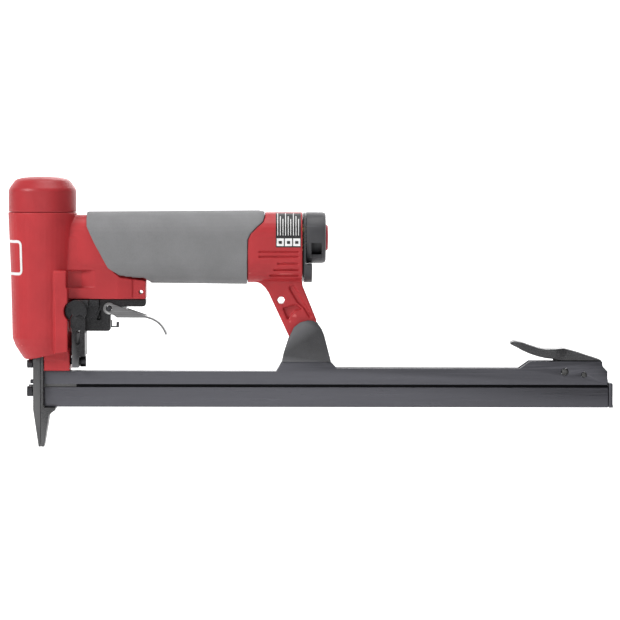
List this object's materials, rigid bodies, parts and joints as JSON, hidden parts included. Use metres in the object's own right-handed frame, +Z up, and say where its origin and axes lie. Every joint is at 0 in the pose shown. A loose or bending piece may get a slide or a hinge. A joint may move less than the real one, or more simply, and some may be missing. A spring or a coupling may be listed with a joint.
{
  "type": "pneumatic upholstery stapler",
  "caption": "Air-powered upholstery stapler: upright head with nose, rubber-gripped handle, rear exhaust, trigger, long sliding magazine",
  "frame": {"origin": "middle of the nose tip, on the face that rests on the work", "axes": "+X along the magazine to its rear end, +Z up the head, Y across the tool"},
  "size_m": [0.3786, 0.0428, 0.1686],
  "materials": {
    "red_enamel": "red enamel on die-cast aluminium",
    "grey_rubber": "matt grey moulded rubber",
    "black_rubber": "black rubber",
    "dark_plastic": "dark grey glass-filled nylon",
    "red_plastic": "red polyethylene",
    "dark_casting": "blackened casting",
    "black_steel": "black oxide on brushed steel",
    "bright_steel": "bright satin steel",
    "aluminium": "turned aluminium",
    "spring_steel": "spring wire",
    "brass": "turned brass"
  },
  "bodies": {
    "body": {"frame_casting": "red_enamel", "cylinder_cap": "red_enamel", "cap_seal": "black_rubber", "head_valve_spring": "spring_steel", "cylinder_sleeve": "aluminium", "bumper": "black_rubber", "grip_sleeve": "grey_rubber", "end_cap": "dark_plastic", "end_cap_gasket": "black_rubber", "air_inlet": "brass", "trigger_housing": "dark_casting", "trigger_pin": "black_steel", "trigger_valve_body": "aluminium", "trigger_valve_spring": "spring_steel", "trigger_clip": "black_steel", "magazine_hanger": "dark_casting", "hanger_screw": "black_steel", "front_plate": "black_steel", "guide_body": "black_steel", "upper_nose_screw_left": "black_steel", "upper_nose_screw_right": "black_steel", "lower_nose_screw_left": "black_steel", "lower_nose_screw_right": "black_steel", "nose_dowel": "black_steel", "magazine_channel": "black_steel", "rear_bracket": "black_steel", "latch_pin": "bright_steel", "latch_stop_pin": "bright_steel", "latch_spring": "spring_steel"},
    "head_valve_body": {"head_valve": "aluminium"},
    "driver": {"piston": "aluminium", "piston_ring": "black_rubber", "driver_blade": "bright_steel"},
    "trigger_lever": {"trigger": "bright_steel"},
    "valve_stem": {"trigger_valve_stem": "bright_steel"},
    "lock_knob": {"trigger_lock": "dark_casting"},
    "latch": {"latch_lever": "black_steel"},
    "rail": {"magazine_rail": "black_steel", "staple_core": "bright_steel", "rail_end_plate": "black_steel", "guide_rod": "bright_steel", "pusher_spring": "spring_steel"},
    "pusher_body": {"pusher": "bright_steel"},
    "deflector": {"exhaust_deflector": "dark_plastic"},
    "plug": {"air_inlet_plug": "red_plastic"}
  },
  "joints": [
    {"name": "trigger_pull", "type": "hinge", "parent": "body", "child": "trigger_lever", "pos_m": [0.0424, 0, 0.0866], "axis": [0, -1, 0], "range_deg": [0, 13], "stiffness_Nm_per_rad": 0.6, "springref_deg": -5.73},
    {"name": "trigger_stem_slide", "type": "slide", "parent": "body", "child": "valve_stem", "axis": [0, 0, 1], "range_m": [0, 0.0019], "deforming": ["trigger_valve_spring"]},
    {"name": "head_valve_lift", "type": "slide", "parent": "body", "child": "head_valve_body", "axis": [0, 0, 1], "range_m": [0, 0.0031], "stiffness_N_per_m": 300, "springref_m": -0.004, "deforming": ["head_valve_spring"]},
    {"name": "driver_slide", "type": "slide", "parent": "body", "child": "driver", "axis": [0, 0, -1], "range_m": [0, 0.045]},
    {"name": "trigger_lock_turn", "type": "hinge", "parent": "body", "child": "lock_knob", "pos_m": [0.0222, -0.0158, 0.0852], "axis": [0, -1, 0], "range_deg": [0, 50]},
    {"name": "magazine_latch", "type": "hinge", "parent": "body", "child": "latch", "pos_m": [0.3273, 0, 0.0474], "axis": [0, -1, 0], "range_deg": [0, 6], "stiffness_Nm_per_rad": 1, "springref_deg": -5.73},
    {"name": "rail_slide", "type": "slide", "parent": "body", "child": "rail", "axis": [1, 0, 0], "range_m": [0, 0.25]},
    {"name": "pusher_slide", "type": "slide", "parent": "rail", "child": "pusher_body", "axis": [1, 0, 0], "range_m": [0, 0.25], "stiffness_N_per_m": 20, "springref_m": -0.05, "deforming": ["pusher_spring"]},
    {"name": "exhaust_swivel", "type": "hinge", "parent": "body", "child": "deflector", "pos_m": [0.173, 0, 0.1309], "axis": [1, 0, 0], "continuous": true},
    {"name": "inlet_plug_pull", "type": "slide", "parent": "body", "child": "plug", "axis": [1, 0, 0], "range_m": [0, 0.025]}
  ],
  "couplings": [
    {"joint": "trigger_stem_slide", "follows": "trigger_pull", "m_per_rad": 0.0079}
  ]
}
